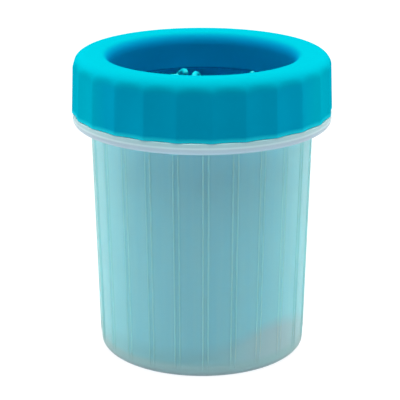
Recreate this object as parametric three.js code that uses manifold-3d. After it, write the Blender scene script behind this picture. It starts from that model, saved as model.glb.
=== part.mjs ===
// Paw washer cup: a tapered frosted cup, a soft silicone insert that lines it,
// a sealing ring, and a fluted twist lid with a wide rolled mouth.
//
// Millimetres. +Z is up, the origin is at the centre of the base, and the cup
// stands on the plane z = 0. Clockwise, seen from above, closes the lid.
// The lid is drawn seated but unlocked, its lugs between the neck's lugs.

import * as THREE from 'three';
import { mergeVertices } from 'three/addons/utils/BufferGeometryUtils.js';
import Module from 'manifold-3d';

const wasm = await Module();
wasm.setup();

// ---- Driving dimensions ----------------------------------------------------

const GAP = 0.3;                  // clearance between pieces that touch

// Cup
const BASE_RADIUS = 46.2;         // outer wall, just above the rounded base edge
const BASE_EDGE = 2.8;            // rounding of the base edge
const BODY_RADIUS = 48.8;         // outer wall under the collar
const COLLAR_BOTTOM = 103.6;
const COLLAR_TOP = 108.7;
const COLLAR_RADIUS = 57.1;
const COLLAR_EDGE = 2.8;          // rounding of the collar's lower edge
const NECK_RADIUS = 50;
const NECK_BORE = 47.6;
const NECK_TOP = 128;
const CUP_WALL = 1.8;
const FLOOR_TOP = 3;
const FLOOR_EDGE = 2.5;           // rounding between the floor and the wall, inside
const FOOT_BORE = 38.8;           // the foot is a flat ring around a shallow recess
const FOOT_RECESS = 0.8;

// Paired beads down the cup's wall
const BEAD_PAIRS = 24;
const BEAD_SPACING = 2.25;        // between the two beads of a pair
const BEAD_WIDTH = 0.75;
const BEAD_HEIGHT = 0.35;
const BEAD_BOTTOM = 4.5;
const BEAD_PHASE = 1.85;          // degrees from the front to the nearest pair

// Lid
const LID_BOTTOM = COLLAR_TOP + GAP;
const LID_TOP = 135;
const GRIP_BOTTOM_RADIUS = 57.5;  // over the ridges
const GRIP_TOP_RADIUS = 56.7;
const SHOULDER = 129;             // where the straight grip turns into the rolled mouth
const CREST_RADIUS = 50.5;        // the highest ring of the mouth
const CROWN_DROP = 0.4;           // from the crest to the lip of the throat
const LIP_RADIUS = 44.9;          // where the top starts to turn down into the throat
const LIP_ACROSS = 4.4;
const LIP_UP = 6.4;
const THROAT_RADIUS = 39.6;       // at its lower edge
const THROAT_BOTTOM = 118.2;
const SKIRT_RADIUS = 42.8;        // outside of the throat's wall, which reaches into the insert
const ROOF_THICKNESS = 2.6;
const ROOF_CORNER = 1.8;          // bevel where the roof meets the walls, inside
const LID_BORE = 54.3;
const FLUTES = 25;
const FLUTE_DEPTH = 0.9;
const RIDGE_PHASE = 3.9;          // degrees from the front to the nearest ridge

// Bayonet closure: the neck carries the upper lugs, the lid the lower ones
const LUGS = 4;
const UNLOCKED_TURN = 45;         // degrees from locked to unlocked
const NECK_LUG = { radius: 52.8, half: 15, bottom: 116.8, top: 119.4 };
const LID_LUG = { radius: 50.5, half: 13, bottom: 113.4, top: 116.4 };
const STOP_PLAY = 0.8;            // degrees between a locked lug and its stop
const STOP_WIDTH = 2.4;           // degrees

// Bristle insert: its sleeve and rim. The soft bristles inside give way to a
// paw, so the space they stand in is left clear.
const INSERT_BOTTOM = 5.5;
const INSERT_WALL = 1.4;
const INSERT_PLAY = 0.4;          // between the insert and the cup's wall
const RIM_BOTTOM = NECK_TOP + GAP;
const RIM_TOP = RIM_BOTTOM + 1.3;
const RIM_RADIUS = NECK_RADIUS - 0.1;

// Sealing ring
const SEAL_BOTTOM = RIM_TOP + GAP;
const SEAL_TOP = SEAL_BOTTOM + 1.8;
const SEAL_BORE = 47;
const SEAL_RADIUS = 52.4;
const SEAL_EDGE = 0.4;            // bevel of its corners

// Facets
const CUP_FACETS = 72;
const INSERT_FACETS = 72;
const SEAL_FACETS = 72;
const FACETS_PER_FLUTE = 3;
const ROUND_STEPS = 3;            // straight steps in a small rounding
const ROLL_STEPS = 5;             // straight steps in each side of the rolled mouth
const LUG_STEPS = 5;
const BURIED = 0.4;               // how far a joined piece reaches into its wall

// ---- Materials -------------------------------------------------------------

const frostedPlastic = new THREE.MeshStandardMaterial({
  color: 0xc4dfe2, roughness: 0.42, metalness: 0, transparent: true, opacity: 0.6,
});
const lidPlastic = new THREE.MeshStandardMaterial({ color: 0x00a8c8, roughness: 0.38, metalness: 0 });
const silicone = new THREE.MeshStandardMaterial({ color: 0x1fc4cf, roughness: 0.55, metalness: 0 });
const sealRubber = new THREE.MeshStandardMaterial({ color: 0xe8eeee, roughness: 0.6, metalness: 0 });

// ---- Geometry helpers ------------------------------------------------------

const radians = THREE.MathUtils.degToRad;
const at = (radius, height) => new THREE.Vector2(radius, height);
const mix = THREE.MathUtils.lerp;

// Points along part of an ellipse, both ends included.
function arc(centre, acrossRadius, upRadius, fromDegrees, toDegrees, steps) {
  const points = [];
  for (let i = 0; i <= steps; i++) {
    const angle = radians(mix(fromDegrees, toDegrees, i / steps));
    const across = acrossRadius * Math.cos(angle);
    const up = upRadius * Math.sin(angle);
    points.push(at(centre.x + across, centre.y + up));
  }
  return points;
}

// Turns a (radius, height) outline about the Z axis. The outline runs
// counter-clockwise, and starts and ends on the axis or on the same point.
function turned(outline, facets) {
  return new THREE.LatheGeometry(outline, facets).rotateX(Math.PI / 2);
}

// A block bent around the Z axis: a sector of a ring between two heights.
function ringSector(innerRadius, outerRadius, bottom, top, fromDegrees, toDegrees) {
  const shape = new THREE.Shape();
  const start = radians(fromDegrees);
  const end = radians(toDegrees);
  shape.absarc(0, 0, outerRadius, start, end, false);
  shape.absarc(0, 0, innerRadius, end, start, true);
  const options = { depth: top - bottom, bevelEnabled: false, curveSegments: LUG_STEPS };
  return new THREE.ExtrudeGeometry(shape, options).translate(0, 0, bottom);
}

function toSolid(geometry) {
  const bare = geometry.clone();
  bare.deleteAttribute('normal');
  bare.deleteAttribute('uv');
  const merged = mergeVertices(bare, 1e-4);
  return new wasm.Manifold(new wasm.Mesh({
    numProp: 3,
    vertProperties: new Float32Array(merged.attributes.position.array),
    triVerts: new Uint32Array(merged.index.array),
  }));
}

function toGeometry(solid) {
  const mesh = solid.getMesh();
  const geometry = new THREE.BufferGeometry();
  geometry.setAttribute('position', new THREE.BufferAttribute(mesh.vertProperties, mesh.numProp));
  geometry.setIndex(new THREE.BufferAttribute(mesh.triVerts, 1));
  geometry.computeVertexNormals();
  return geometry;
}

// One body made of a first geometry and everything that is moulded with it.
function moulded(first, others) {
  return toGeometry(others.reduce((solid, other) => solid.add(toSolid(other)), toSolid(first)));
}

function node(name, geometry, material) {
  const mesh = new THREE.Mesh(geometry, material);
  mesh.name = name;
  return mesh;
}

// ---- Cup -------------------------------------------------------------------

// Outer radius of the cup's tapered wall at a height.
function wallRadius(height) {
  const share = (height - BASE_EDGE) / (COLLAR_BOTTOM - BASE_EDGE);
  return mix(BASE_RADIUS, BODY_RADIUS, share);
}

function cupOutline() {
  const floorRadius = wallRadius(FLOOR_TOP) - CUP_WALL;
  const baseEdge = at(BASE_RADIUS - BASE_EDGE, BASE_EDGE);
  const collarEdge = at(COLLAR_RADIUS - COLLAR_EDGE, COLLAR_BOTTOM + COLLAR_EDGE);
  const floorEdge = at(floorRadius - FLOOR_EDGE, FLOOR_TOP + FLOOR_EDGE);
  return [
    at(0, FOOT_RECESS),
    at(FOOT_BORE - FOOT_RECESS, FOOT_RECESS),
    at(FOOT_BORE, 0),
    ...arc(baseEdge, BASE_EDGE, BASE_EDGE, -90, 0, ROUND_STEPS),
    at(BODY_RADIUS, COLLAR_BOTTOM),
    ...arc(collarEdge, COLLAR_EDGE, COLLAR_EDGE, -90, 0, ROUND_STEPS),
    at(COLLAR_RADIUS, COLLAR_TOP),
    at(NECK_RADIUS, COLLAR_TOP),
    at(NECK_RADIUS, NECK_TOP),
    at(NECK_BORE, NECK_TOP),
    at(NECK_BORE, COLLAR_BOTTOM + CUP_WALL),
    at(BODY_RADIUS - CUP_WALL, COLLAR_BOTTOM),
    ...arc(floorEdge, FLOOR_EDGE, FLOOR_EDGE, 0, -90, ROUND_STEPS),
    at(0, FLOOR_TOP),
  ];
}

// A slim three-sided bead lying along the sloping wall, at a sideways offset
// from the middle of its pair.
function bead(pairDegrees, offset) {
  const shape = new THREE.Shape();
  shape.moveTo(-BEAD_WIDTH / 2, 0);
  shape.lineTo(0, -BEAD_HEIGHT);
  shape.lineTo(BEAD_WIDTH / 2, 0);
  shape.lineTo(BEAD_WIDTH / 2, BURIED);
  shape.lineTo(-BEAD_WIDTH / 2, BURIED);
  const rise = COLLAR_BOTTOM - BEAD_BOTTOM;
  const slope = Math.atan2(BODY_RADIUS - BASE_RADIUS, COLLAR_BOTTOM - BASE_EDGE);
  const options = { depth: (rise + BURIED) / Math.cos(slope), bevelEnabled: false };
  const radius = wallRadius(BEAD_BOTTOM);
  return new THREE.ExtrudeGeometry(shape, options)
    .rotateX(slope)
    .translate(0, -radius, BEAD_BOTTOM)
    .rotateZ(radians(pairDegrees) + offset / radius);
}

function beads() {
  const made = [];
  for (let i = 0; i < BEAD_PAIRS; i++) {
    const pairDegrees = BEAD_PHASE + i * 360 / BEAD_PAIRS;
    made.push(bead(pairDegrees, -BEAD_SPACING / 2));
    made.push(bead(pairDegrees, BEAD_SPACING / 2));
  }
  return made;
}

// Each neck lug ends in a stop that hangs in the path of the lid's lug.
function neckLugs() {
  const { radius, half, bottom, top } = NECK_LUG;
  const inner = NECK_RADIUS - BURIED;
  const stopNear = -LID_LUG.half - STOP_PLAY;
  const stopFar = stopNear - STOP_WIDTH;
  const made = [];
  for (let i = 0; i < LUGS; i++) {
    const middle = i * 360 / LUGS;
    made.push(ringSector(inner, radius, bottom, top, middle + stopFar, middle + half));
    made.push(ringSector(inner, radius, LID_LUG.bottom, bottom + BURIED, middle + stopFar, middle + stopNear));
  }
  return made;
}

function cupBody() {
  return moulded(turned(cupOutline(), CUP_FACETS), [...beads(), ...neckLugs()]);
}

// ---- Lid -------------------------------------------------------------------

// The mouth rolls over a crest: outwards to the grip, and inwards, over an
// almost flat top and a steep lip, to the throat.
function lidOutline() {
  const crest = at(CREST_RADIUS, SHOULDER);
  const lip = at(LIP_RADIUS, LID_TOP - CROWN_DROP - LIP_UP);
  const roofUnderside = LID_TOP - CROWN_DROP - ROOF_THICKNESS;
  return [
    at(LID_BORE, LID_BOTTOM),
    at(GRIP_BOTTOM_RADIUS, LID_BOTTOM),
    ...arc(crest, GRIP_TOP_RADIUS - CREST_RADIUS, LID_TOP - SHOULDER, 0, 90, ROLL_STEPS),
    ...arc(lip, LIP_ACROSS, LIP_UP, 90, 180, ROUND_STEPS),
    at(THROAT_RADIUS, THROAT_BOTTOM),
    at(SKIRT_RADIUS, THROAT_BOTTOM),
    at(SKIRT_RADIUS, roofUnderside - ROOF_CORNER),
    at(SKIRT_RADIUS + ROOF_CORNER, roofUnderside),
    at(LID_BORE - ROOF_CORNER, roofUnderside),
    at(LID_BORE, roofUnderside - ROOF_CORNER),
    at(LID_BORE, LID_BOTTOM),
  ];
}

// Hollows the grip into flutes that meet in ridges and fade out over the roll.
function flute(geometry) {
  const position = geometry.attributes.position;
  const point = new THREE.Vector3();
  const pitch = 2 * Math.PI / FLUTES;
  for (let i = 0; i < position.count; i++) {
    point.fromBufferAttribute(position, i);
    const radius = Math.hypot(point.x, point.y);
    const onGrip = radius > LID_BORE + GAP;
    if (!onGrip) continue;
    const turn = Math.atan2(point.x, -point.y) / pitch;
    const fromRidge = turn - Math.floor(turn);
    const fade = 1 - THREE.MathUtils.smoothstep(point.z, SHOULDER, LID_TOP);
    const depth = FLUTE_DEPTH * 4 * fromRidge * (1 - fromRidge) * fade;
    point.multiply(new THREE.Vector3(1 - depth / radius, 1 - depth / radius, 1));
    position.setXYZ(i, point.x, point.y, point.z);
  }
  return geometry.rotateZ(radians(RIDGE_PHASE));
}

function lidLugs() {
  const { radius, half, bottom, top } = LID_LUG;
  const made = [];
  for (let i = 0; i < LUGS; i++) {
    const middle = UNLOCKED_TURN + i * 360 / LUGS;
    made.push(ringSector(radius, LID_BORE + BURIED, bottom, top, middle - half, middle + half));
  }
  return made;
}

function twistLid() {
  const shell = flute(turned(lidOutline(), FLUTES * FACETS_PER_FLUTE));
  return moulded(shell, lidLugs());
}

// ---- Insert ----------------------------------------------------------------

const insertRadius = height => wallRadius(height) - CUP_WALL - INSERT_PLAY;

function insertOutline() {
  const collarRadius = insertRadius(COLLAR_BOTTOM);
  return [
    at(insertRadius(INSERT_BOTTOM) - INSERT_WALL, INSERT_BOTTOM),
    at(insertRadius(INSERT_BOTTOM), INSERT_BOTTOM),
    at(collarRadius, COLLAR_BOTTOM),
    at(collarRadius, RIM_BOTTOM),
    at(RIM_RADIUS, RIM_BOTTOM),
    at(RIM_RADIUS, RIM_TOP),
    at(collarRadius - INSERT_WALL, RIM_TOP),
    at(collarRadius - INSERT_WALL, COLLAR_BOTTOM),
    at(insertRadius(INSERT_BOTTOM) - INSERT_WALL, INSERT_BOTTOM),
  ];
}

function bristleInsert() {
  return turned(insertOutline(), INSERT_FACETS);
}

// ---- Sealing ring ----------------------------------------------------------

function sealOutline() {
  const e = SEAL_EDGE;
  return [
    at(SEAL_BORE + e, SEAL_BOTTOM),
    at(SEAL_RADIUS - e, SEAL_BOTTOM),
    at(SEAL_RADIUS, SEAL_BOTTOM + e),
    at(SEAL_RADIUS, SEAL_TOP - e),
    at(SEAL_RADIUS - e, SEAL_TOP),
    at(SEAL_BORE + e, SEAL_TOP),
    at(SEAL_BORE, SEAL_TOP - e),
    at(SEAL_BORE, SEAL_BOTTOM + e),
    at(SEAL_BORE + e, SEAL_BOTTOM),
  ];
}

function lidSeal() {
  return turned(sealOutline(), SEAL_FACETS);
}

// ---- Assembly --------------------------------------------------------------

const pawWasherCup = new THREE.Group();
pawWasherCup.add(
  node('cup_body', cupBody(), frostedPlastic),
  node('bristle_insert', bristleInsert(), silicone),
  node('lid_seal', lidSeal(), sealRubber),
  node('twist_lid', twistLid(), lidPlastic),
);

export default pawWasherCup;
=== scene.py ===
"""Paw washer cup: the finished surfaces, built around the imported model.

The cup, the bristle insert, the sealing ring and the twist lid are each turned from an outline,
with the fine shapes that a moulded part has: beads down the cup's wall, flutes on the lid's grip,
rounded edges everywhere, and soft bristles that don't all lie straight.
Outlines are in millimetres; meshes are in metres, in the row frame.
"""

import math
import random

import bmesh
import bpy
import numpy as np
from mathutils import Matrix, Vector


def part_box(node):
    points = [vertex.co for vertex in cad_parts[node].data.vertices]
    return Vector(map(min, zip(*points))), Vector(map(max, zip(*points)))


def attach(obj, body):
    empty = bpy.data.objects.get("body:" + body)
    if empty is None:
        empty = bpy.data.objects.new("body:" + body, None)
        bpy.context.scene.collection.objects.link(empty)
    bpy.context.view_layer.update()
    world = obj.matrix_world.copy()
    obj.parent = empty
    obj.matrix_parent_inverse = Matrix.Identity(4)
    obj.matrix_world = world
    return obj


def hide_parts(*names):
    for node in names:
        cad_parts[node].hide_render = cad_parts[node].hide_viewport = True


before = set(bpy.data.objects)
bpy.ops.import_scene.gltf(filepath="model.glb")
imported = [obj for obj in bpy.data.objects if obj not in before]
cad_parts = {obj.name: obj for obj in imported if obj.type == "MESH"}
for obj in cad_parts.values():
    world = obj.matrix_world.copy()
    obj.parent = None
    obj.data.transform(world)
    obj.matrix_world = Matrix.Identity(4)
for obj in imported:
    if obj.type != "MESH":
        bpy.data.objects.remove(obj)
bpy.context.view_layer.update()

MM = 0.001


# ---- Sizes taken from the frame (millimetres) --------------------------------------------------

def box_mm(node):
    low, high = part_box(node)
    return low / MM, high / MM


cup_low, cup_high = box_mm("cup_body")
lid_low, lid_high = box_mm("twist_lid")
insert_low, insert_high = box_mm("bristle_insert")
seal_low, seal_high = box_mm("lid_seal")

COLLAR_RADIUS = cup_high.x
NECK_TOP = cup_high.z
LID_BOTTOM = lid_low.z
LID_TOP = lid_high.z
INSERT_BOTTOM = insert_low.z
RIM_TOP = insert_high.z
SEAL_BOTTOM = seal_low.z
SEAL_TOP = seal_high.z
SEAL_RADIUS = seal_high.x

# ---- Sizes of the fine shapes (millimetres, degrees) -------------------------------------------

# Cup
BASE_RADIUS = 46.2
BODY_RADIUS = 48.8
BASE_EDGE = 2.8
COLLAR_BOTTOM = 103.6
COLLAR_TOP = LID_BOTTOM - 0.06
# Height of the painted highlight line around the collar
COLLAR_HIGHLIGHT_HEIGHT = 106.75
NECK_RADIUS = 50.0
NECK_BORE = 47.6
CUP_WALL = 1.8
FLOOR_TOP = 3.0
FOOT_BORE = 38.8
FOOT_RECESS = 0.8
BEAD_PAIRS = 24
BEAD_PITCH = 2 * math.pi / BEAD_PAIRS
BEAD_SPACING = 2.25
BEAD_HALF_WIDTH = 0.496
BEAD_HEIGHT = 0.34
BEAD_BOTTOM = 3.6
BEAD_RUN_IN = 2.5
BEAD_TOP_GAP = 0.9
BEAD_PHASE = 1.85
STEPS_BETWEEN_PAIRS = 5
ON_WALL = 0.02

# Lid
GRIP_BOTTOM_RADIUS = 57.5
GRIP_TOP_RADIUS = 56.7
SHOULDER = 129.0
CREST_RADIUS = 50.5
CREST_TURN = 96.0
CROWN_DROP = 0.4
LIP_RADIUS = 44.9
LIP_ACROSS = 4.4
LIP_UP = 6.4
LIP_START = 94.0
LIP_END = 178.0
THROAT_RADIUS = 39.6
THROAT_BOTTOM = 118.2
SKIRT_RADIUS = 42.8
ROOF_THICKNESS = 2.6
ROOF_CORNER = 2.4
LID_EDGE = 0.4
LID_BORE = 54.3
FLUTES = 25
FLUTE_PITCH = 2 * math.pi / FLUTES
FLUTE_DEPTH = 0.9
FLUTE_FADE_START = SHOULDER - 1.5
FLUTE_FADE_END = LID_TOP - 1.2
GRIP_INNER = LID_BORE + 0.3
GRIP_OUTER = LID_BORE + 2.0
RIDGE_ROUND = 0.5
RIDGE_PHASE = 3.9

# Closure
LUGS = 4
LUG_EDGE = 0.45
LUG_STEPS = 14
BEVEL_MIDDLE = 0.3
NECK_LUG = dict(inner=49.6, outer=52.8, bottom=116.8, top=119.4, start=-16.2, end=15.0)
STOP_LUG = dict(inner=49.6, outer=52.8, bottom=113.4, top=117.2, start=-16.2, end=-13.8)
LID_LUG = dict(inner=50.5, outer=54.7, bottom=113.4, top=116.4, start=-13.0, end=13.0)
UNLOCKED_TURN = 45.0

# Insert
INSERT_WALL = 1.4
INSERT_PLAY = 0.4
RIM_BOTTOM = RIM_TOP - 1.3
RIM_RADIUS = NECK_RADIUS - 0.1
BRISTLE_COLUMNS = 20
BRISTLE_ROWS = 9
BRISTLE_FIRST_ROW = 14.0
BRISTLE_ROW_PITCH = 12.0
BRISTLE_LENGTH = 17.0
BRISTLE_ROOT = 1.75
BRISTLE_TIP = 1.35
BRISTLE_TILT = 8.0
BRISTLE_SIDES = 12
TAPER_START = 4.0
TAPER_STATIONS = 6

# How far single bristles stray: angles in degrees, and lengths
TILT_SPREAD = 5.0
LEAN_SPREAD = 6.0
LENGTH_SPREAD = 0.4
SAG_LOW = -1.4
SAG_HIGH = 0.8
SWAY = 0.9

# The flared root: distance along the bristle, and radius
ROOT_FLARE = [(-0.6, 1.2), (0.1, 2.1), (0.9, 1.85), (2.2, 1.7)]

# Where the rings of the round tip lie, in degrees from its widest part to its end
TIP_TURNS = (25, 50, 72)

# Top-row bristles that stand up into the mouth, by column: where the tip is, and how the bristle
# bows on the way there
STANDING = {
    8: ((22.6, 24.0, 119.9), (0, 0, 1.0)),
    10: ((-3.6, 26.0, 116.8), (3.5, 0, -11.0)),
    11: ((-7.5, 24.0, 119.3), (-5.9, 0, -12.0)),
    12: ((-10.5, 31.5, 116.3), (0, 0, -4.0)),
}

# The hem: the sleeve's free lower edge
HEM_REACH = 30.0
HEM_PULL_AT = 44.0
HEM_PULL_WIDTH = 30.0
HEM_PULL_IN = 4.5
HEM_PULL_UP = 9.0
HEM_WAVE = 0.2
HEM_WAVES = 3
INSERT_FACETS = 160

# Sealing ring
SEAL_BORE = 47.0
SEAL_EDGE = 0.5
SEAL_GROOVE_DEPTH = 0.3
SEAL_GROOVE_WIDTH = 0.7
SEAL_FACE = 0.2
SEAL_FACETS = 180


# ---- Mesh building -----------------------------------------------------------------------------

def new_object(name, verts, faces):
    mesh = bpy.data.meshes.new(name)
    mesh.from_pydata([tuple(v) for v in verts], [], faces)
    mesh.validate()
    obj = bpy.data.objects.new(name, mesh)
    bpy.context.scene.collection.objects.link(obj)
    for polygon in mesh.polygons:
        polygon.use_smooth = True
    return obj


def rounded(corners, closed, arc_step=15.0, longest=6.0, hold=0.35):
    """An outline through (radius, height, rounding) corners. Each corner becomes an arc, with a point
    held close to each end of it. Long straight runs are divided."""
    points = []
    count = len(corners)
    for i, (r, z, rounding) in enumerate(corners):
        here = np.array([r, z], float)
        ends = not closed and i in (0, count - 1)
        if rounding == 0 or ends:
            points.append(here)
            continue
        before = np.array(corners[i - 1][:2], float) - here
        after = np.array(corners[(i + 1) % count][:2], float) - here
        before /= np.linalg.norm(before)
        after /= np.linalg.norm(after)
        half = math.acos(np.clip(before @ after, -1, 1)) / 2
        reach = rounding / math.tan(half)
        centre = here + (before + after) / np.linalg.norm(before + after) * rounding / math.sin(half)
        start = here + before * reach - centre
        end = here + after * reach - centre
        sweep = math.atan2(start[0] * end[1] - start[1] * end[0], start @ end)
        steps = max(2, round(abs(math.degrees(sweep)) / arc_step))
        points.append(here + before * (reach + min(hold, rounding)))
        for k in range(steps + 1):
            a = sweep * k / steps
            turn = np.array([[math.cos(a), -math.sin(a)], [math.sin(a), math.cos(a)]])
            points.append(centre + turn @ start)
        points.append(here + after * (reach + min(hold, rounding)))
    filled = []
    last = len(points) if closed else len(points) - 1
    for i in range(last):
        a, b = points[i], points[(i + 1) % len(points)]
        pieces = max(1, math.ceil(np.linalg.norm(b - a) / longest))
        filled += [a + (b - a) * k / pieces for k in range(pieces)]
    if not closed:
        filled.append(points[-1])
    return np.array(filled)


def revolve(outline, angles, closed, shape=None):
    """Turns an outline about Z. Angles run from the front towards +X. shape(r, z, angles) may change
    the radii of a ring of points. Returns vertices in metres and faces."""
    verts = []
    rings = []
    n = len(angles)
    for r, z in outline:
        if r < 1e-6:
            rings.append([len(verts)] * n)
            verts.append((0, 0, z * MM))
            continue
        radii = np.full(n, r) if shape is None else shape(r, z, angles)
        rings.append(list(range(len(verts), len(verts) + n)))
        xs = radii * np.sin(angles) * MM
        ys = -radii * np.cos(angles) * MM
        verts += list(zip(xs, ys, np.full(n, z * MM)))
    faces = []
    last = len(rings) if closed else len(rings) - 1
    for i in range(last):
        low, high = rings[i], rings[(i + 1) % len(rings)]
        for j in range(n):
            k = (j + 1) % n
            corners = [low[j], low[k], high[k], high[j]]
            face = list(dict.fromkeys(corners))
            if len(face) > 2:
                faces.append(face)
    return verts, faces


def even_angles(count):
    return np.arange(count) * 2 * math.pi / count


def smoothstep(low, high, x):
    t = np.clip((x - low) / (high - low), 0, 1)
    return t * t * (3 - 2 * t)


def lug(inner, outer, bottom, top, start, end, middle):
    """A bevelled block bent around the axis. Angles run from +X, as in the CAD model."""
    section = rounded([
        (inner, bottom, 0),
        (outer, bottom, LUG_EDGE),
        (outer, top, LUG_EDGE),
        (inner, top, 0),
    ], closed=True, arc_step=22.5)
    bevel = LUG_EDGE / math.radians(1) / outer
    stations = [start, start + bevel * BEVEL_MIDDLE, start + bevel]
    stations += list(np.linspace(start + bevel, end - bevel, LUG_STEPS)[1:-1])
    stations += [end - bevel, end - bevel * BEVEL_MIDDLE, end]
    draw_ins = [0.0] * len(stations)
    draw_ins[0] = draw_ins[-1] = LUG_EDGE
    draw_ins[1] = draw_ins[-2] = LUG_EDGE * BEVEL_MIDDLE
    centre_z = (bottom + top) / 2
    verts = []
    for degrees, draw_in in zip(stations, draw_ins):
        a = math.radians(degrees + middle)
        for r, z in section:
            rr = min(r, outer - draw_in)
            half = (top - bottom) / 2 - draw_in
            zz = centre_z + np.clip(z - centre_z, -half, half)
            verts.append((rr * math.cos(a) * MM, rr * math.sin(a) * MM, zz * MM))
    m = len(section)
    faces = []
    for s in range(len(stations) - 1):
        for j in range(m):
            k = (j + 1) % m
            faces.append([s * m + j, s * m + k, (s + 1) * m + k, (s + 1) * m + j][::-1])
    faces.append(list(range(m)))
    faces.append(list(range((len(stations) - 1) * m, len(stations) * m))[::-1])
    return verts, faces


def joined(name, parts):
    verts = []
    faces = []
    for part_verts, part_faces in parts:
        offset = len(verts)
        verts += part_verts
        faces += [[v + offset for v in face] for face in part_faces]
    return new_object(name, verts, faces)


def lug_ring(name, size, turn):
    """Equal lugs, evenly spaced around the axis."""
    return joined(name, [lug(**size, middle=turn + k * 360 / LUGS) for k in range(LUGS)])


def fuse(obj, other):
    """Joins a second closed mesh to obj as one body, and removes the second object."""
    boolean = obj.modifiers.new("fuse", "BOOLEAN")
    boolean.operation = "UNION"
    boolean.solver = "MANIFOLD"
    boolean.object = other
    depsgraph = bpy.context.evaluated_depsgraph_get()
    fused = bpy.data.meshes.new_from_object(obj.evaluated_get(depsgraph))
    obj.modifiers.clear()
    obj.data = fused
    bpy.data.objects.remove(other)
    smooth_by_angle(obj)


def smooth_by_angle(obj, degrees=40):
    mesh = obj.data
    for polygon in mesh.polygons:
        polygon.use_smooth = True
    edit = bmesh.new()
    edit.from_mesh(mesh)
    limit = math.radians(degrees)
    for edge in edit.edges:
        edge.smooth = len(edge.link_faces) == 2 and edge.calc_face_angle(math.pi) < limit
    edit.to_mesh(mesh)
    edit.free()


# ---- Cup ---------------------------------------------------------------------------------------

def wall_radius(z):
    return BASE_RADIUS + (BODY_RADIUS - BASE_RADIUS) * (z - BASE_EDGE) / (COLLAR_BOTTOM - BASE_EDGE)


def cup_angles():
    """Angles around the cup, close together across each bead and wide apart between the pairs."""
    across_bead = np.array([-0.62, -0.44, -0.3, -0.15, 0, 0.15, 0.3, 0.44, 0.62])
    half = BEAD_SPACING / 2
    near_pair = np.concatenate([across_bead - half, [0], across_bead + half]) / BODY_RADIUS
    between = np.linspace(near_pair[-1], near_pair[0] + BEAD_PITCH, STEPS_BETWEEN_PAIRS + 1)[1:-1]
    one_pair = np.concatenate([near_pair, between])
    pairs = [one_pair + math.radians(BEAD_PHASE) + k * BEAD_PITCH for k in range(BEAD_PAIRS)]
    return np.concatenate(pairs)


def bead_height(z, angles):
    """How far the beads stand out of the wall around a ring of points."""
    from_pair = (angles - math.radians(BEAD_PHASE) + BEAD_PITCH / 2) % BEAD_PITCH - BEAD_PITCH / 2
    from_bead = np.abs(np.abs(from_pair) * BODY_RADIUS - BEAD_SPACING / 2)
    bump = 0.5 + 0.5 * np.cos(math.pi * np.clip(from_bead / BEAD_HALF_WIDTH, 0, 1))
    lower_end = smoothstep(BEAD_BOTTOM, BEAD_BOTTOM + BEAD_RUN_IN, z)
    upper_end = 1 - smoothstep(COLLAR_BOTTOM - 2 * BEAD_TOP_GAP, COLLAR_BOTTOM - BEAD_TOP_GAP, z)
    return BEAD_HEIGHT * bump * (lower_end * upper_end)


def cup_shape(r, z, angles):
    on_wall = BEAD_BOTTOM < z < COLLAR_BOTTOM and abs(r - wall_radius(z)) < ON_WALL
    return r + bead_height(z, angles) if on_wall else np.full(len(angles), r)


def build_cup():
    floor_corner = wall_radius(FLOOR_TOP) - CUP_WALL
    outline = rounded([
        (0, FOOT_RECESS, 0),
        (FOOT_BORE - 0.5, FOOT_RECESS, 0.4),
        (FOOT_BORE, 0, 0.25),
        (wall_radius(0), 0, BASE_EDGE),
        (BODY_RADIUS, COLLAR_BOTTOM, 0.7),
        (COLLAR_RADIUS, COLLAR_BOTTOM, 2.7),
        (COLLAR_RADIUS, COLLAR_TOP, 0.3),
        (NECK_RADIUS, COLLAR_TOP, 0.5),
        (NECK_RADIUS, NECK_TOP, 0.5),
        (NECK_BORE, NECK_TOP, 0.5),
        (NECK_BORE, COLLAR_BOTTOM + CUP_WALL, 1.5),
        (BODY_RADIUS - CUP_WALL, COLLAR_BOTTOM, 1.5),
        (floor_corner, FLOOR_TOP, 2.5),
        (0, FLOOR_TOP, 0),
    ], closed=False, longest=3.0)
    verts, faces = revolve(outline, cup_angles(), closed=False, shape=cup_shape)
    cup = new_object("cup", verts, faces)
    fuse(cup, lug_ring("neck_lugs", NECK_LUG, 0))
    fuse(cup, lug_ring("neck_stops", STOP_LUG, 0))
    return cup


# ---- Lid ---------------------------------------------------------------------------------------

def ellipse(centre, across, up, start, end, steps):
    """Points along part of an upright ellipse. Angles run from outward, upwards."""
    turns = np.radians(np.linspace(start, end, steps + 1))
    return [(centre[0] + across * math.cos(t), centre[1] + up * math.sin(t), 0) for t in turns]


def lid_angles():
    """Angles around the lid, close together at the ridges between the flutes."""
    from_ridge = np.array([0, 0.2, 0.42, 0.7, 1.1, 1.7, 2.5, 3.5, 4.6, 5.8]) / GRIP_BOTTOM_RADIUS
    flute = np.concatenate([from_ridge, [FLUTE_PITCH / 2], FLUTE_PITCH - from_ridge[:0:-1]])
    flutes = [flute + math.radians(RIDGE_PHASE) + k * FLUTE_PITCH for k in range(FLUTES)]
    return np.concatenate(flutes)


def lid_shape(r, z, angles):
    """Hollows the grip into flutes. They fade out over the roll, and the ridges between them are
    rounded."""
    on_grip = smoothstep(GRIP_INNER, GRIP_OUTER, r)
    fade = 1 - smoothstep(FLUTE_FADE_START, FLUTE_FADE_END, z)
    turn = ((angles - math.radians(RIDGE_PHASE)) / FLUTE_PITCH) % 1
    from_ridge = np.minimum(turn, 1 - turn) * FLUTE_PITCH * GRIP_BOTTOM_RADIUS
    softened = np.sqrt(from_ridge ** 2 + RIDGE_ROUND ** 2) - RIDGE_ROUND
    share = softened / (FLUTE_PITCH * GRIP_BOTTOM_RADIUS)
    return r - FLUTE_DEPTH * 4 * share * (1 - share) * fade * on_grip


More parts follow.
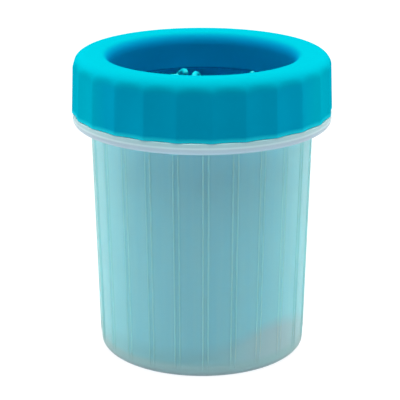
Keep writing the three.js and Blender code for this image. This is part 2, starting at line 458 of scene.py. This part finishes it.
def build_lid():
    crest = (CREST_RADIUS, SHOULDER)
    lip = (LIP_RADIUS, LID_TOP - CROWN_DROP - LIP_UP)
    roof_underside = LID_TOP - CROWN_DROP - ROOF_THICKNESS
    outline = rounded([
        (LID_BORE, LID_BOTTOM, 0.3),
        (GRIP_BOTTOM_RADIUS, LID_BOTTOM, LID_EDGE),
        *ellipse(crest, GRIP_TOP_RADIUS - CREST_RADIUS, LID_TOP - SHOULDER, 0, CREST_TURN, steps=15),
        *ellipse(lip, LIP_ACROSS, LIP_UP, LIP_START, LIP_END, steps=12),
        (THROAT_RADIUS, THROAT_BOTTOM, 0.8),
        (SKIRT_RADIUS, THROAT_BOTTOM, 0.8),
        (SKIRT_RADIUS, roof_underside, ROOF_CORNER),
        (LID_BORE, roof_underside, ROOF_CORNER),
    ], closed=True, longest=3.0)
    verts, faces = revolve(outline, lid_angles(), closed=True, shape=lid_shape)
    lid = new_object("lid", verts, faces)
    fuse(lid, lug_ring("lid_lugs", LID_LUG, UNLOCKED_TURN))
    return lid


# ---- Insert ------------------------------------------------------------------------------------

def insert_radius(z):
    return wall_radius(z) - CUP_WALL - INSERT_PLAY


def shape_hem(insert):
    """The sleeve's free lower edge is soft: at the front right it draws in and rises, and elsewhere it
    waves a little. The bristles near it move with it."""
    for vertex in insert.data.vertices:
        x, y, z = vertex.co / MM
        low = 1 - smoothstep(INSERT_BOTTOM, INSERT_BOTTOM + HEM_REACH, z)
        angle = math.atan2(x, -y)
        away = (angle - math.radians(HEM_PULL_AT) + math.pi) % (2 * math.pi) - math.pi
        pulled = math.exp(-((away / math.radians(HEM_PULL_WIDTH)) ** 2)) * low
        wave = HEM_WAVE * (1 + math.sin(HEM_WAVES * angle)) * low
        radius = math.hypot(x, y)
        scale = 1 - (HEM_PULL_IN * pulled + wave) / max(radius, 1.0)
        vertex.co = Vector((x * scale, y * scale, z + HEM_PULL_UP * pulled)) * MM


def finger(root, tip, bend):
    """One bristle: a tapered finger with a flared root and a round tip. It bows away from the straight
    line to tip, by bend at its end."""
    length = (tip - root).length
    direction = (tip - root) / length
    taper_end = length - BRISTLE_TIP
    profile = list(ROOT_FLARE)
    for along in np.linspace(TAPER_START, taper_end, TAPER_STATIONS):
        profile.append((along, BRISTLE_ROOT + (BRISTLE_TIP - BRISTLE_ROOT) * along / taper_end))
    for degrees in TIP_TURNS:
        turn = math.radians(degrees)
        profile.append((taper_end + BRISTLE_TIP * math.sin(turn), BRISTLE_TIP * math.cos(turn)))
    level = direction.cross(Vector((0, 0, 1))).normalized()
    verts = []
    for along, radius in profile + [(length, 0)]:
        bowed = min(max(along, 0), taper_end)
        heading = (direction + bend * (2 * bowed / length ** 2)).normalized()
        centre = root + direction * bowed + bend * (bowed / length) ** 2 + heading * (along - bowed)
        top = level.cross(heading).normalized()
        side = heading.cross(top)
        for k in range(BRISTLE_SIDES if radius else 1):
            turn = 2 * math.pi * k / BRISTLE_SIDES
            verts.append(centre + (side * math.cos(turn) + top * math.sin(turn)) * radius)
    faces = [list(range(BRISTLE_SIDES))]
    for i in range(len(profile) - 1):
        low = i * BRISTLE_SIDES
        high = low + BRISTLE_SIDES
        for k in range(BRISTLE_SIDES):
            n = (k + 1) % BRISTLE_SIDES
            faces.append([low + k, high + k, high + n, low + n])
    last = (len(profile) - 1) * BRISTLE_SIDES
    for k in range(BRISTLE_SIDES):
        faces.append([last + k, len(verts) - 1, last + (k + 1) % BRISTLE_SIDES])
    return [tuple(v * MM) for v in verts], faces


def build_bristles(rng):
    """Staggered rows of bristles on the inside of the sleeve. They slope up a little, each in its own
    way."""
    fingers = []
    for row in range(BRISTLE_ROWS):
        z = BRISTLE_FIRST_ROW + row * BRISTLE_ROW_PITCH
        top_row = row == BRISTLE_ROWS - 1
        for column in range(BRISTLE_COLUMNS):
            around = 2 * math.pi * (column + (row % 2) / 2) / BRISTLE_COLUMNS
            outward = Vector((math.sin(around), -math.cos(around), 0))
            sideways = Vector((math.cos(around), math.sin(around), 0))
            root = outward * (insert_radius(z) - INSERT_WALL) + Vector((0, 0, z))
            tilt = math.radians(BRISTLE_TILT + rng.uniform(-TILT_SPREAD, TILT_SPREAD))
            lean = math.radians(rng.uniform(-LEAN_SPREAD, LEAN_SPREAD))
            length = BRISTLE_LENGTH + rng.uniform(-LENGTH_SPREAD, LENGTH_SPREAD)
            level = -outward * math.cos(lean) + sideways * math.sin(lean)
            tip = root + (level * math.cos(tilt) + Vector((0, 0, math.sin(tilt)))) * length
            bend = Vector((0, 0, rng.uniform(SAG_LOW, SAG_HIGH))) + sideways * rng.uniform(-SWAY, SWAY)
            if top_row and column in STANDING:
                tip, bend = map(Vector, STANDING[column])
                tip -= bend
            fingers.append(finger(root, tip, bend))
    return joined("bristles", fingers)


def build_insert():
    collar = insert_radius(COLLAR_BOTTOM)
    foot = insert_radius(INSERT_BOTTOM)
    outline = rounded([
        (foot - INSERT_WALL, INSERT_BOTTOM, 0.5),
        (foot, INSERT_BOTTOM, 0.5),
        (collar, COLLAR_BOTTOM, 3.0),
        (collar, RIM_BOTTOM, 0.6),
        (RIM_RADIUS, RIM_BOTTOM, 0.4),
        (RIM_RADIUS, RIM_TOP, 0.4),
        (collar - INSERT_WALL, RIM_TOP, 0.6),
        (collar - INSERT_WALL, COLLAR_BOTTOM, 3.0),
    ], closed=True, longest=3.0)
    insert = new_object("insert", *revolve(outline, even_angles(INSERT_FACETS), closed=True))
    fuse(insert, build_bristles(random.Random(7)))
    shape_hem(insert)
    return insert


# ---- Sealing ring ------------------------------------------------------------------------------

def build_seal():
    """A flat ring with one fine groove around its upper face and one around its lower face."""
    outline = rounded([
        (SEAL_BORE, SEAL_BOTTOM, SEAL_EDGE),
        (SEAL_RADIUS, SEAL_BOTTOM, SEAL_EDGE),
        (SEAL_RADIUS, SEAL_TOP, SEAL_EDGE),
        (SEAL_BORE, SEAL_TOP, SEAL_EDGE),
    ], closed=True, longest=1.5)
    middle = (SEAL_BORE + SEAL_RADIUS) / 2
    for point in outline:
        groove = SEAL_GROOVE_DEPTH * math.exp(-((point[0] - middle) / SEAL_GROOVE_WIDTH) ** 2)
        if point[1] < SEAL_BOTTOM + SEAL_FACE:
            point[1] += groove
        if point[1] > SEAL_TOP - SEAL_FACE:
            point[1] -= groove
    verts, faces = revolve(outline, even_angles(SEAL_FACETS), closed=True)
    return new_object("seal", verts, faces)


# ---- Materials ---------------------------------------------------------------------------------

# Colours of the lid
GRIP_DEEP = (0.0, 0.255, 0.445, 1)
GRIP_PALE = (0.0, 0.275, 0.475, 1)
# Painted light: lighter and greener at the left and the right of the grip, where the side light falls
GRIP_SIDE_LIGHT = (0.0, 0.325, 0.485, 1)
# Painted light: lighter over the roll and at the top of the mouth, where light from above falls
PAINTED_TOP_LIGHT = (0.0, 0.335, 0.465, 1)
# Painted light: lighter along the lid's lower edge, standing for light thrown up from the collar and the
# floor
PAINTED_BOUNCE_LIGHT = (0.01, 0.51, 0.67, 1)
# Painted shade: deeper and bluer inside the throat, where light arrives only after bouncing
THROAT_SHADE = (0.0, 0.225, 0.53, 1)

# Colours of the cup. The tones multiply the colour under them.
WALL_DEEP = (0.39, 0.895, 1.0, 1)
WALL_PALE = (0.45, 0.925, 1.0, 1)
BELOW_HEM = (0.40, 0.83, 0.90, 1)
BELOW_PULLED_HEM = (0.55, 0.78, 0.85, 1)
FOOT = (0.45, 0.76, 0.80, 1)
# Painted shade: darker at the bottom edge of the base, next to the floor
BASE_CORNER_SHADE = (0.34, 0.49, 0.53, 1)
PLAIN_TONE = (1, 1, 1, 1)
# Painted highlight along the beads, and painted shade right beside them
BEAD_HIGHLIGHT = (1.2, 1.08, 1.0, 1)
BEAD_EDGE_SHADE = (0.86, 0.94, 0.94, 1)
COLLAR_UNDER_LINE = (0.45, 0.64, 0.80, 1)
# Painted highlight: the light line around the collar
COLLAR_RING_HIGHLIGHT = (0.56, 0.79, 0.91, 1)
COLLAR_OVER_LINE = (0.40, 0.66, 0.77, 1)
# Painted light in front of and behind the collar, and painted shade at its left and right
COLLAR_FRONT_BACK_LIGHT = (1.12, 1.12, 1.08, 1)
COLLAR_SIDES_SHADE = (0.90, 0.84, 0.84, 1)

# How much light goes through the cup
WALL_CLEAR = 0.66
BEAD_CLEAR = 0.6
COLLAR_CLEAR = 0.2

# Colours of the insert
SLEEVE_DEEP = (0.01, 0.59, 0.83, 1)
SLEEVE_PALE = (0.02, 0.65, 0.89, 1)
TOP_BRISTLES = (0.0, 0.43, 0.54, 1)
# Painted shade: deeper and bluer on the inside of the insert's collar, in the shade under the lid
SHADED_COLLAR_LINING = (0.0, 0.50, 0.92, 1)

# Colours of the seal and the floor
SEAL_DULL = (0.78, 0.82, 0.82, 1)
SEAL_PALE = (0.84, 0.87, 0.87, 1)
FLOOR_DARK = (0.085, 0.085, 0.085, 1)
FLOOR_PALE = (0.095, 0.095, 0.095, 1)


class Nodes:
    """A short way to write a node tree."""

    def __init__(self, name):
        self.material = bpy.data.materials.new(name)
        self.material.use_nodes = True
        self.tree = self.material.node_tree
        self.shader = self.tree.nodes["Principled BSDF"]

    def add(self, kind, **inputs):
        node = self.tree.nodes.new(kind)
        for key, value in inputs.items():
            self.put(node.inputs[key.replace("_", " ")], value)
        return node

    def put(self, socket, value):
        if isinstance(value, bpy.types.NodeSocket):
            self.tree.links.new(value, socket)
        else:
            socket.default_value = value

    def set(self, **inputs):
        for key, value in inputs.items():
            self.put(self.shader.inputs[key.replace("_", " ")], value)

    def position(self, scale):
        coords = self.add("ShaderNodeTexCoord")
        mapping = self.add("ShaderNodeMapping", Vector=coords.outputs["Object"])
        mapping.inputs["Scale"].default_value = scale
        return mapping.outputs["Vector"]

    def math(self, operation, a, b=0.0):
        node = self.add("ShaderNodeMath")
        node.operation = operation
        self.put(node.inputs[0], a)
        self.put(node.inputs[1], b)
        return node.outputs["Value"]

    def place(self):
        """Outputs X, Y and Z: where the point is on the piece, in metres."""
        return self.add("ShaderNodeSeparateXYZ", Vector=self.position((1, 1, 1))).outputs

    def across(self):
        """Distance to the left or the right of the middle."""
        return self.math("ABSOLUTE", self.place()["X"])

    def height(self):
        return self.place()["Z"]

    def radius(self):
        """Distance from the piece's axis."""
        flat = self.add("ShaderNodeVectorMath", Vector=self.position((1, 1, 0)))
        flat.operation = "LENGTH"
        return flat.outputs["Value"]

    def noise(self, scale, detail, stretch=(1, 1, 1)):
        place = self.position(stretch)
        node = self.add("ShaderNodeTexNoise", Vector=place, Scale=scale, Detail=detail)
        return node.outputs["Fac"]

    def ramp(self, value, low, high, start=0.3, end=0.7):
        """Runs from low at start to high at end. The defaults suit noise."""
        node = self.add("ShaderNodeMapRange", Value=value)
        node.inputs["From Min"].default_value = start
        node.inputs["From Max"].default_value = end
        node.inputs["To Min"].default_value = low
        node.inputs["To Max"].default_value = high
        return node.outputs["Result"]

    def fade_in(self, distance, start, end):
        """0 up to start and 1 from end on. Both are in millimetres, and distance is in metres."""
        return self.ramp(distance, 0, 1, start * MM, end * MM)

    def fade_out(self, distance, start, end):
        """1 up to start and 0 from end on. Both are in millimetres, and distance is in metres."""
        return self.ramp(distance, 1, 0, start * MM, end * MM)

    def blend(self, factor, a, b, kind="MIX"):
        node = self.add("ShaderNodeMix")
        node.data_type = "RGBA"
        node.blend_type = kind
        self.put(node.inputs["Factor"], factor)
        for socket in node.inputs:
            if socket.type == "RGBA" and socket.name in ("A", "B"):
                self.put(socket, a if socket.name == "A" else b)
        return next(socket for socket in node.outputs if socket.type == "RGBA")

    def bump(self, height, distance, strength):
        node = self.add("ShaderNodeBump", Height=height, Distance=distance, Strength=strength)
        return node.outputs["Normal"]


def lid_plastic():
    """Dyed plastic without gloss, with light and shade painted into its colour: painted shade deeper
    in the throat, painted light greener at the left and the right, and painted light along the lower
    edge and at the top of the mouth."""
    n = Nodes("lid_plastic")
    tint = n.ramp(n.noise(scale=45, detail=4), 0, 1)
    # Painted light from above, over the roll and the top of the mouth
    top_light = n.fade_in(n.height(), SHOULDER - 1, LID_TOP)
    grip = n.blend(tint, GRIP_DEEP, GRIP_PALE)
    # Painted side light on the grip's left and right
    grip = n.blend(n.fade_in(n.across(), 40, 48), grip, GRIP_SIDE_LIGHT)
    outside = n.blend(top_light, grip, PAINTED_TOP_LIGHT)
    # Painted shade inside the throat
    throat = n.fade_out(n.radius(), THROAT_RADIUS + 1.2, LIP_RADIUS - 1.5)
    # Painted light thrown up onto the lid's lower edge
    bounce_light = n.fade_out(n.height(), LID_BOTTOM + 0.3, LID_BOTTOM + 2.2)
    outside = n.blend(bounce_light, outside, PAINTED_BOUNCE_LIGHT)
    n.set(
        Base_Color=n.blend(throat, outside, THROAT_SHADE),
        Roughness=n.ramp(n.noise(scale=900, detail=2), 0.36, 0.46),
        Normal=n.bump(n.noise(scale=3500, detail=2), distance=0.00002, strength=0.5),
    )
    n.set(Specular_IOR_Level=0.0)
    return n.material


def frosted_plastic():
    """Milky translucent plastic. The insert shows through the thin wall, which is less clear along the
    beads, with a painted highlight along them and painted shade right beside them, greyer at the foot
    and below the insert's hem, and with painted shade at the bottom edge of the base. The thick collar
    and neck let little light through; they carry a painted highlight line around them, and painted
    light in front and behind with painted shade at the left and the right."""
    n = Nodes("frosted_plastic")
    place = n.place()
    height = place["Z"]
    thick = n.fade_in(height, COLLAR_BOTTOM - 0.3, COLLAR_BOTTOM + 0.5)

    # Distance from the nearest bead, in millimetres
    around = n.math("ARCTAN2", place["X"], n.math("MULTIPLY", place["Y"], -1.0))
    from_start = n.math("SUBTRACT", around, math.radians(BEAD_PHASE) - BEAD_PITCH / 2)
    turned = n.math("FLOORED_MODULO", from_start, BEAD_PITCH)
    off_pair = n.math("ABSOLUTE", n.math("SUBTRACT", turned, BEAD_PITCH / 2))
    from_pair = n.math("MULTIPLY", off_pair, BODY_RADIUS)
    from_bead = n.math("ABSOLUTE", n.math("SUBTRACT", from_pair, BEAD_SPACING / 2))
    above_foot = n.fade_in(height, BEAD_BOTTOM + 1, BEAD_BOTTOM + 6)
    bead = n.math("MULTIPLY", above_foot, n.ramp(from_bead, 1, 0, 0.2, 0.45))
    bead_edge = n.math("MULTIPLY", above_foot, n.ramp(from_bead, 1, 0, 0.55, 1.05))

    # The wall, and where it is bare below the insert's hem
    streaks = n.ramp(n.noise(scale=420, detail=3, stretch=(1, 1, 0.03)), 0, 1)
    wall = n.blend(streaks, WALL_DEEP, WALL_PALE)
    away = n.math("ABSOLUTE", n.math("SUBTRACT", around, math.radians(HEM_PULL_AT)))
    falloff = -1 / math.radians(HEM_PULL_WIDTH) ** 2
    pulled = n.math("POWER", math.e, n.math("MULTIPLY", n.math("POWER", away, 2), falloff))
    hem = n.math("ADD", n.math("MULTIPLY", pulled, HEM_PULL_UP * MM), INSERT_BOTTOM * MM)
    below_hem = n.fade_out(n.math("SUBTRACT", height, hem), 3.5, 9.5)
    wall = n.blend(below_hem, wall, n.blend(pulled, BELOW_HEM, BELOW_PULLED_HEM))
    wall = n.blend(n.fade_out(height, 5.0, 7.5), wall, FOOT)
    # Painted shade at the bottom edge of the base
    wall = n.blend(n.fade_out(height, 0.8, 3.2), wall, BASE_CORNER_SHADE)
    # Painted shade beside the beads and painted highlight along them
    tone = n.blend(bead_edge, PLAIN_TONE, BEAD_EDGE_SHADE)
    tone = n.blend(bead, tone, BEAD_HIGHLIGHT)
    wall = n.blend(1.0, wall, tone, "MULTIPLY")

    # The collar, with a painted highlight line around it, and painted light in front and behind with
    # painted shade at the left and the right
    under_line = n.fade_out(height, COLLAR_HIGHLIGHT_HEIGHT - 0.5, COLLAR_HIGHLIGHT_HEIGHT - 0.2)
    over_line = n.fade_in(height, COLLAR_HIGHLIGHT_HEIGHT + 0.3, COLLAR_HIGHLIGHT_HEIGHT + 0.6)
    collar = n.blend(over_line, COLLAR_RING_HIGHLIGHT, COLLAR_OVER_LINE)
    collar = n.blend(under_line, collar, COLLAR_UNDER_LINE)
    # Painted light in front and behind, painted shade at the left and the right
    tone = n.blend(n.fade_in(n.across(), 8, 42), COLLAR_FRONT_BACK_LIGHT, COLLAR_SIDES_SHADE)
    collar = n.blend(1.0, collar, tone, "MULTIPLY")

    clear = n.ramp(bead, WALL_CLEAR, BEAD_CLEAR, 0, 1)
    lost = n.math("MULTIPLY", thick, WALL_CLEAR - COLLAR_CLEAR)
    n.set(
        Base_Color=n.blend(thick, wall, collar),
        Roughness=n.ramp(n.noise(scale=1200, detail=2), 0.34, 0.42),
        Transmission_Weight=n.math("SUBTRACT", clear, lost),
        Normal=n.bump(n.noise(scale=2600, detail=3), distance=0.00002, strength=0.3),
    )
    n.set(IOR=1.49)
    return n.material


def cyan_silicone():
    """Soft dyed silicone: brightest in the sleeve, deeper in the bristles at the top, and with painted
    shade, deeper and bluer, on the inside of the collar that they stand on."""
    n = Nodes("cyan_silicone")
    tint = n.ramp(n.noise(scale=60, detail=4), 0, 1)
    bore = insert_radius(COLLAR_BOTTOM) - INSERT_WALL
    inside = n.fade_out(n.radius(), bore + 0.2, bore + 1.0)
    above = n.fade_in(n.height(), COLLAR_BOTTOM - 2, COLLAR_BOTTOM + 2)
    upper = n.math("MULTIPLY", inside, above)
    # Painted shade on the inside of the collar
    shaded_lining = n.fade_in(n.radius(), NECK_BORE - 5.2, NECK_BORE - 3.6)
    top = n.blend(shaded_lining, TOP_BRISTLES, SHADED_COLLAR_LINING)
    sleeve = n.blend(tint, SLEEVE_DEEP, SLEEVE_PALE)
    n.set(
        Base_Color=n.blend(upper, sleeve, top),
        Roughness=n.ramp(n.noise(scale=700, detail=2), 0.42, 0.56),
        Normal=n.bump(n.noise(scale=2200, detail=2), distance=0.00003, strength=0.5),
    )
    n.set(IOR=1.41, Specular_IOR_Level=0.2, Subsurface_Weight=0.2, Subsurface_Scale=0.003)
    n.shader.inputs["Subsurface Radius"].default_value = (0.2, 0.8, 1.0)
    return n.material


def seal_silicone():
    n = Nodes("seal_silicone")
    n.set(
        Base_Color=n.blend(n.ramp(n.noise(scale=80, detail=3), 0, 1), SEAL_DULL, SEAL_PALE),
        Roughness=n.ramp(n.noise(scale=800, detail=2), 0.45, 0.58),
        Normal=n.bump(n.noise(scale=2400, detail=2), distance=0.00002, strength=0.4),
    )
    n.set(IOR=1.41, Subsurface_Weight=0.2, Subsurface_Scale=0.003)
    return n.material


def floor_material():
    """A pale sheet lit from below, as on a product table, so that shadows stay light."""
    n = Nodes("pale_floor")
    n.set(
        Base_Color=n.blend(n.ramp(n.noise(scale=3, detail=4), 0, 1), FLOOR_DARK, FLOOR_PALE),
        Roughness=0.9,
    )
    n.set(Specular_IOR_Level=0.1, Emission_Strength=FLOOR_GLOW)
    n.shader.inputs["Emission Color"].default_value = COOL_GLOW
    return n.material


# ---- Pieces ------------------------------------------------------------------------------------

def finish_piece(piece, material, body, node):
    piece.data.materials.clear()
    piece.data.materials.append(material)
    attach(piece, body)
    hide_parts(node)


finish_piece(build_cup(), frosted_plastic(), "cup", "cup_body")
finish_piece(build_lid(), lid_plastic(), "lid", "twist_lid")
finish_piece(build_insert(), cyan_silicone(), "insert", "bristle_insert")
finish_piece(build_seal(), seal_silicone(), "seal", "lid_seal")


# ---- Stage -------------------------------------------------------------------------------------

CAMERA_DISTANCE = 0.681
CAMERA_ELEVATION = 18.0
CAMERA_TARGET = Vector((0, 0, 0.0666))
CAMERA_LENS = 135.9
CAMERA_SENSOR = 36.0
CAMERA_SHIFT = -0.0053

FLOOR_REACH = 4.0
FLOOR_STEPS = 8
FLOOR_DROP = 0.0002

WARM_WHITE = (1, 1, 0.87)
SIDE_WHITE = (0.94, 1.03, 0.87)
COOL_GLOW = (1.0, 1.02, 1.05, 1)
FLOOR_GLOW = 0.92
SKY_BASE = 0.06
SKY_TOP = 10.5
SKY_TOP_STARTS = 0.82
SKY_TOP_FULL = 0.98
SIDE_LIGHT_DISTANCE = 0.8
SIDE_LIGHT_AZIMUTH = 100.0
SIDE_LIGHT_SIZE = (0.8, 0.3)
LEFT_LIGHT_POWER = 3.9
RIGHT_LIGHT_POWER = 3.4


def build_floor():
    """A wide flat grid, a hair below the cup's foot."""
    mesh = bpy.data.meshes.new("floor")
    edge = np.linspace(-FLOOR_REACH, FLOOR_REACH, FLOOR_STEPS + 1)
    verts = [(x, y, 0) for y in edge for x in edge]
    faces = []
    for j in range(FLOOR_STEPS):
        for i in range(FLOOR_STEPS):
            near = j * len(edge) + i
            far = near + len(edge)
            faces.append([near, near + 1, far + 1, far])
    mesh.from_pydata(verts, [], faces)
    floor = bpy.data.objects.new("floor", mesh)
    bpy.context.scene.collection.objects.link(floor)
    floor.location.z = -FLOOR_DROP
    mesh.materials.append(floor_material())


def build_side_light(name, azimuth, power):
    """A long low soft box. The azimuth is measured from the front towards +X."""
    lamp = bpy.data.lights.new(name, "AREA")
    lamp.shape = "RECTANGLE"
    lamp.size, lamp.size_y = SIDE_LIGHT_SIZE
    lamp.energy = power
    lamp.color = SIDE_WHITE
    obj = bpy.data.objects.new(name, lamp)
    bpy.context.scene.collection.objects.link(obj)
    turn = math.radians(azimuth)
    middle = Vector((0, 0, SIDE_LIGHT_SIZE[1] / 2))
    outward = Vector((math.sin(turn), -math.cos(turn), 0))
    obj.location = outward * SIDE_LIGHT_DISTANCE + middle
    aim = middle - obj.location
    obj.rotation_euler = aim.to_track_quat("-Z", "Y").to_euler()
    obj.visible_camera = False


def build_sky():
    """A soft ceiling over a dim room. The camera sees plain white past the floor."""
    world = bpy.data.worlds.new("studio")
    bpy.context.scene.world = world
    world.use_nodes = True
    tree = world.node_tree
    ceiling = tree.nodes["Background"]
    ceiling.inputs["Color"].default_value = (*WARM_WHITE, 1)
    backdrop = tree.nodes.new("ShaderNodeBackground")
    backdrop.inputs["Color"].default_value = (1, 1, 1, 1)
    coords = tree.nodes.new("ShaderNodeTexCoord")
    split = tree.nodes.new("ShaderNodeSeparateXYZ")
    strength = tree.nodes.new("ShaderNodeMapRange")
    strength.interpolation_type = "SMOOTHSTEP"
    strength.inputs["From Min"].default_value = SKY_TOP_STARTS
    strength.inputs["From Max"].default_value = SKY_TOP_FULL
    strength.inputs["To Min"].default_value = SKY_BASE
    strength.inputs["To Max"].default_value = SKY_TOP
    path = tree.nodes.new("ShaderNodeLightPath")
    chosen = tree.nodes.new("ShaderNodeMixShader")
    tree.links.new(coords.outputs["Generated"], split.inputs["Vector"])
    tree.links.new(split.outputs["Z"], strength.inputs["Value"])
    tree.links.new(strength.outputs["Result"], ceiling.inputs["Strength"])
    tree.links.new(path.outputs["Is Camera Ray"], chosen.inputs["Fac"])
    tree.links.new(ceiling.outputs["Background"], chosen.inputs[1])
    tree.links.new(backdrop.outputs["Background"], chosen.inputs[2])
    tree.links.new(chosen.outputs["Shader"], tree.nodes["World Output"].inputs["Surface"])


def build_camera():
    camera = bpy.data.cameras.new("camera")
    camera.lens = CAMERA_LENS
    camera.sensor_width = CAMERA_SENSOR
    camera.shift_x = CAMERA_SHIFT
    obj = bpy.data.objects.new("camera", camera)
    bpy.context.scene.collection.objects.link(obj)
    rise = math.radians(CAMERA_ELEVATION)
    obj.location = CAMERA_TARGET + Vector((0, -math.cos(rise), math.sin(rise))) * CAMERA_DISTANCE
    obj.rotation_euler = (CAMERA_TARGET - obj.location).to_track_quat("-Z", "Y").to_euler()
    bpy.context.scene.camera = obj


build_floor()
build_sky()
build_side_light("left_light", -SIDE_LIGHT_AZIMUTH, LEFT_LIGHT_POWER)
build_side_light("right_light", SIDE_LIGHT_AZIMUTH, RIGHT_LIGHT_POWER)
build_camera()
bpy.context.scene.view_settings.view_transform = "Standard"
